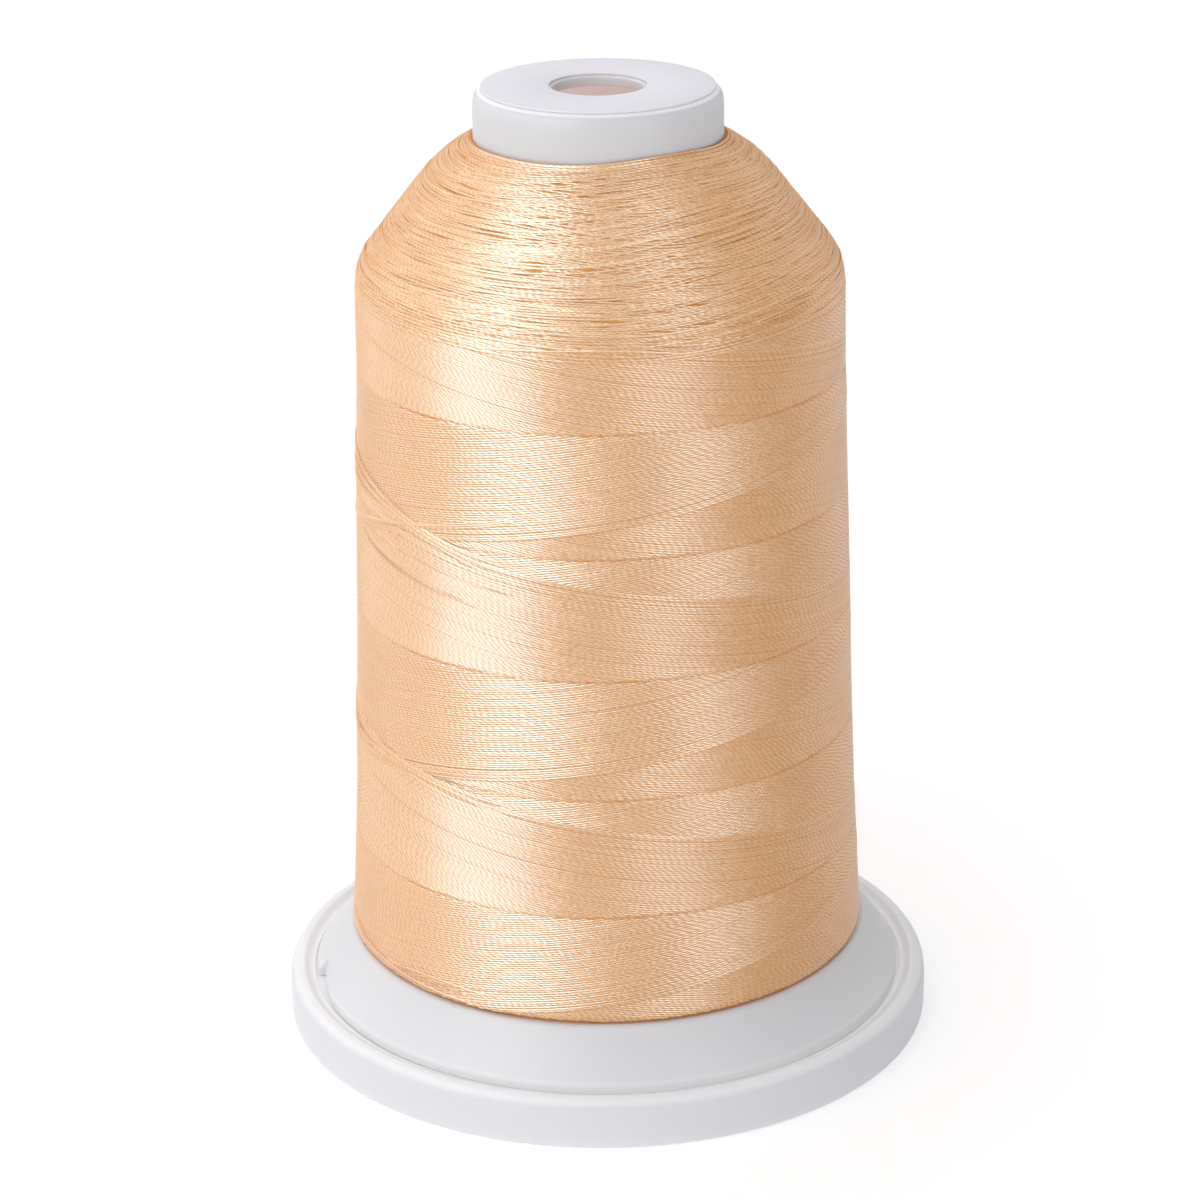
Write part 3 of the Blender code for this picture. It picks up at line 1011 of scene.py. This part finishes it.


# Thread: single strands over the lays

# Each row is a bundle: strands, shade, height above the lays in mm, half width in mm, then the azimuths in
# degrees and the heights in mm of its upper strand and of its lower one
# a shade above 0 is painted shade, so thin dark strands stand for shadow lines and gaps; below 0 is painted
# light
crossingBundles = (
    # the last strands, where the two families cross, painted lighter, then dark strands of painted shade for
    # the shadow line above them and the lines between the strands that fan out
    (3, -0.15, 0.03, 0.15, (-190, -166, -157, -144, -138, -132, -124, -108),
     (66.2, 67.7, 68.8, 70.3, 70.8, 71.5, 72.5, 74.3), (65.4, 67.1, 68.3, 69.8, 70.3, 70.9, 71.8, 73.5)),
    (8, -0.10, 0.05, 0.15, (-190, -170, -157, -149, -140, -132, -124, -114),
     (76.6, 74.8, 73.5, 72.6, 71.3, 70.3, 69.5, 68.7), (70.4, 71.0, 70.8, 70.5, 70.0, 69.1, 67.9, 66.3)),
    (1, 0.85, 0.05, 0.07, (-190, -170, -157, -149, -140, -132, -124),
     (76.9, 75.05, 73.75, 72.85, 71.55, 70.5, 69.7), ()),
    (1, 0.85, 0.04, 0.07, (-166, -157, -148, -136), (67.9, 68.6, 69.1, 68.9), ()),
    (1, 0.85, 0.04, 0.07, (-160, -148, -138, -126), (69.2, 68.8, 68.3, 67.6), ()),
    (1, 0.95, 0.04, 0.08, (-166, -153, -144, -135, -124, -108), (67.6, 67.2, 66.9, 66.5, 65.8, 64.6), ()),
    (2, 0.90, 0.04, 0.07, (-166, -156, -148, -140, -133, -118), (67.0, 65.9, 65.2, 64.6, 64.1, 63.2),
     (66.6, 65.3, 64.6, 64.0, 63.5, 62.4)),
    # the same, one crossing lower, with two dark strands of painted shade
    (6, -0.10, 0.05, 0.15, (-190, -169, -158, -151, -145, -137, -130, -124, -112),
     (42.6, 41.9, 41.7, 41.3, 40.9, 40.5, 40.1, 39.8, 39.2),
     (37.9, 38.9, 39.3, 39.5, 39.6, 39.5, 39.0, 38.4, 37.2)),
    (1, 0.80, 0.05, 0.07, (-190, -169, -158, -151, -145, -137, -128),
     (42.85, 42.15, 41.95, 41.55, 41.15, 40.75, 40.2), ()),
    (1, 0.75, 0.03, 0.07, (-142, -135, -127, -112), (40.9, 41.2, 41.8, 43.0), ()),
    # the strands that turn back at the foot of the winding: the first two painted lighter, the dark ones
    # painted shade
    (1, -0.45, 0.07, 0.13, (-172, -158, -150, -145, -139, -133, -128, -123, -116),
     (13.60, 13.49, 13.42, 13.22, 13.12, 13.00, 12.89, 12.79, 12.60), ()),
    (1, -0.35, 0.05, 0.12, (-152, -145, -138, -133, -129, -126, -122, -112),
     (13.3, 13.7, 14.25, 14.45, 14.60, 14.50, 14.40, 14.2), ()),
    (2, 0.90, 0.03, 0.08, (-152, -146, -142, -136, -131, -125, -117),
     (13.55, 13.60, 13.75, 13.95, 13.95, 13.90, 13.7), (13.3, 13.30, 13.35, 13.50, 13.40, 13.40, 13.3)),
    (1, 0.90, 0.04, 0.08, (-176, -168, -161, -157, -152, -147, -140),
     (14.9, 14.5, 14.2, 14.0, 13.85, 13.6, 13.4), ()),
    # the level strand at the foot of the shoulder, and a dark strand of painted shade for the gap beside it
    (1, -0.50, 0.06, 0.12, (-120, -109, -99, -90, -82, -70, -58),
     (93.5, 93.8, 94.0, 94.1, 93.9, 93.2, 92.6), ()),
    (1, 0.80, 0.03, 0.08, (-92, -85, -78, -70, -60), (94.6, 94.5, 94.2, 93.7, 93.0), ()),
)
crossingLay = {
    "steps": 90,
    "sinkAngle": 12.0,  # degrees over which a strand sinks into the lays at both ends
    "sinkDepth": 0.2,  # this, the next three and stray are in mm
    "ridge": 0.05,  # how much prouder the middle of a bundle is
    "lowDepth": 0.02,
    "lowNarrow": 0.06,
    "stray": 0.02,
    "lowShade": 0.85,
    "waver": 0.08,
}


def addCrossings(finish):
    # each strand follows its smoothed path over the lays and sinks into them at both ends; every third strand
    # of a wide bundle lies low, in painted shade
    c = crossingLay
    paths = []
    for count, shade, high, halfWidth, azimuths, upper, lower in crossingBundles:
        angle = np.linspace(azimuths[0], azimuths[-1], c["steps"] + 1)
        top = smoothed(np.interp(angle, azimuths, upper), 8, 4.0)
        bottom = smoothed(np.interp(angle, azimuths, lower or upper), 8, 4.0)
        nearEnd = np.minimum(angle - azimuths[0], azimuths[-1] - angle) / c["sinkAngle"]
        sunk = c["sinkDepth"] * (1 - np.clip(nearEnd, 0, 1)) ** 2
        for strand in range(count):
            share = (strand + 0.5) / count
            ridge = c["ridge"] * sin(pi * share) if count > 1 else 0
            low = 1 if count > 3 and strand % 3 == 2 else 0
            paths.append((
                angle,
                top * (1 - share) + bottom * share,
                high + ridge - sunk - c["lowDepth"] * low,
                shade + c["lowShade"] * low,
                halfWidth - c["lowNarrow"] * low,
            ))
    angle, height, lift, shade, halfWidth = (np.array(values) for values in zip(*paths))
    count = len(paths)
    length = c["steps"] + 1
    angle = np.radians(angle)
    distance = railAt(height * mm) + c["stray"] * mm * slowWaves(count, length, 7)
    shade = shade[:, None] + c["waver"] * slowWaves(count, length, 9)
    along = runLength(angle, distance) / thread["plyStep"] + chance.uniform(0, 1, count)[:, None]
    keep = np.ones((count, c["steps"]), bool)
    addStrands(
        "crossingLays", finish, angle, distance, lift * mm, keep, along, shade,
        halfWidth[:, None, None] * mm, winding["rise"],
    )


# Thread: the loops over the shoulder

shoulderLayers = (
    # loops, most in one group, how far groups stray, height, shade, share of the width that the groups cover
    # the lower layers are painted darker, as painted shade in the gaps between the loops above them
    (94, 12, 0.10, -0.08, 0.57, 1.00),
    (74, 2, 0.12, -0.02, 0.32, 0.90),
    (62, 2, 0.24, 0.035, 0.05, 0.84),
)
shoulderLay = {
    "steps": 160,
    "startBelow": 0.9 * mm,  # how far below the top of the body the lowest loop lies
    "overlap": 1.2 * mm,  # how far loops may stray below that
    "neckGap": 0.95 * mm,
    "neckRise": 0.75 * mm,  # how much higher the last loops climb at one side of the neck
    "neckFace": radians(-57),
    "neckSpread": 0.5,
    "spacing": 0.27 * mm,
    "wander": ((1, 1.0), (2, 0.55), (3, 0.3), (5, 0.12)),  # waves a turn, and how many mm they carry a group
    "groupLift": 0.020 * mm,
    "ripples": (2, 4, 7, 11),  # waves a turn that each loop follows alone
    "rippleWander": 0.026 * mm,
    "rippleLift": 0.010 * mm,
    "rise": 1.5,  # how much rounder the loops stand than the strands of the body
    "plyDrift": 0.3,
    "waver": 0.30,
}


def loopGroups(count, most):
    # groups of 1 to most loops: their sizes, and the group of each loop with that group's first loop
    sizes = chance.integers(1, most + 1, count)
    sizes = sizes[: np.searchsorted(np.cumsum(sizes), count) + 1]
    group = np.repeat(np.arange(len(sizes)), sizes)[:count]
    first = np.concatenate([[0], np.cumsum(sizes)])[group]
    return sizes, group, first


def addShoulder(finish):
    # near-level loops over the shoulder, in layers of small groups: the loops of a group run side by side,
    # and each group wanders along the rail by slow waves of the angle and dives under or over the others
    w = winding
    s = shoulderLay
    length = s["steps"] + 1
    start = railAt(w["bodyTop"] - s["startBelow"])
    width = railLength - s["neckGap"] - start
    angle = np.linspace(0, 2 * pi, length)
    toSide = wrapped(angle - s["neckFace"]) / s["neckSpread"]
    neck = railLength - s["neckGap"] + s["neckRise"] * np.exp(-toSide ** 2)
    for layer, (count, most, stray, high, shade, cover) in enumerate(shoulderLayers):
        sizes, group, first = loopGroups(count, most)
        share = (np.arange(count) + 0.5) / count
        groupShare = (first + sizes[group] / 2) / count
        spacing = min(s["spacing"], width / count * cover) if layer else width / count
        base = start + width * groupShare + (np.arange(count) - first - (sizes[group] - 1) / 2) * spacing
        wander = np.zeros((count, length))
        lift = np.zeros((count, length))
        for wave, reach in s["wander"]:
            own = chance.normal(0, stray, len(sizes))[group]
            turn = 2 * pi * (layer * 0.37 + wave * 0.21) + 3.0 * groupShare + own
            wander += reach * mm * np.sin(wave * angle + turn[:, None])
            turn = chance.uniform(0, 2 * pi, len(sizes))[group]
            lift += s["groupLift"] * np.sin((wave + 1) * angle + turn[:, None])
        for wave in s["ripples"]:
            wander += s["rippleWander"] * np.sin(wave * angle + chance.uniform(0, 2 * pi, count)[:, None])
            lift += s["rippleLift"] * np.sin(wave * angle + chance.uniform(0, 2 * pi, count)[:, None])
        # groups wander less at the lower edge and not at all at the neck, whose rise the last loops follow
        fade = np.minimum(1, np.minimum(0.5 + share * 6, (1 - share) * 8))
        toNeck = np.clip((share - 0.7) / 0.3, 0, 1) ** 2
        distance = base[:, None] + wander * fade[:, None]
        distance = distance + toNeck[:, None] * (neck - railLength + s["neckGap"])
        distance = np.clip(distance, start - s["overlap"], neck)
        lift += high * mm - w["rise"]
        keep = np.ones((count, s["steps"]), bool)
        angles = np.broadcast_to(angle, distance.shape)
        plies = runLength(angles, distance) / thread["plyStep"]
        plies = plies * np.round(plies[:, -1:]) / plies[:, -1:]  # a whole number of them closes each loop
        along = plies + chance.uniform(0, 1, count)[:, None]
        along = along + s["plyDrift"] * slowWaves(count, length, 20, True)
        tintAndShade = shade + s["waver"] * slowWaves(count, length, 14, True)
        addStrands(
            f"shoulderLays{layer}", finish, angles, distance, lift, keep, along, tintAndShade,
            w["halfWidth"], w["rise"] * s["rise"], True,
        )


addBed()
addBodyStrands(threadFinish("peachThread"))
addCrossings(threadFinish("crossingThread"))
addShoulder(threadFinish("shoulderThread"))
print("thread is wound")
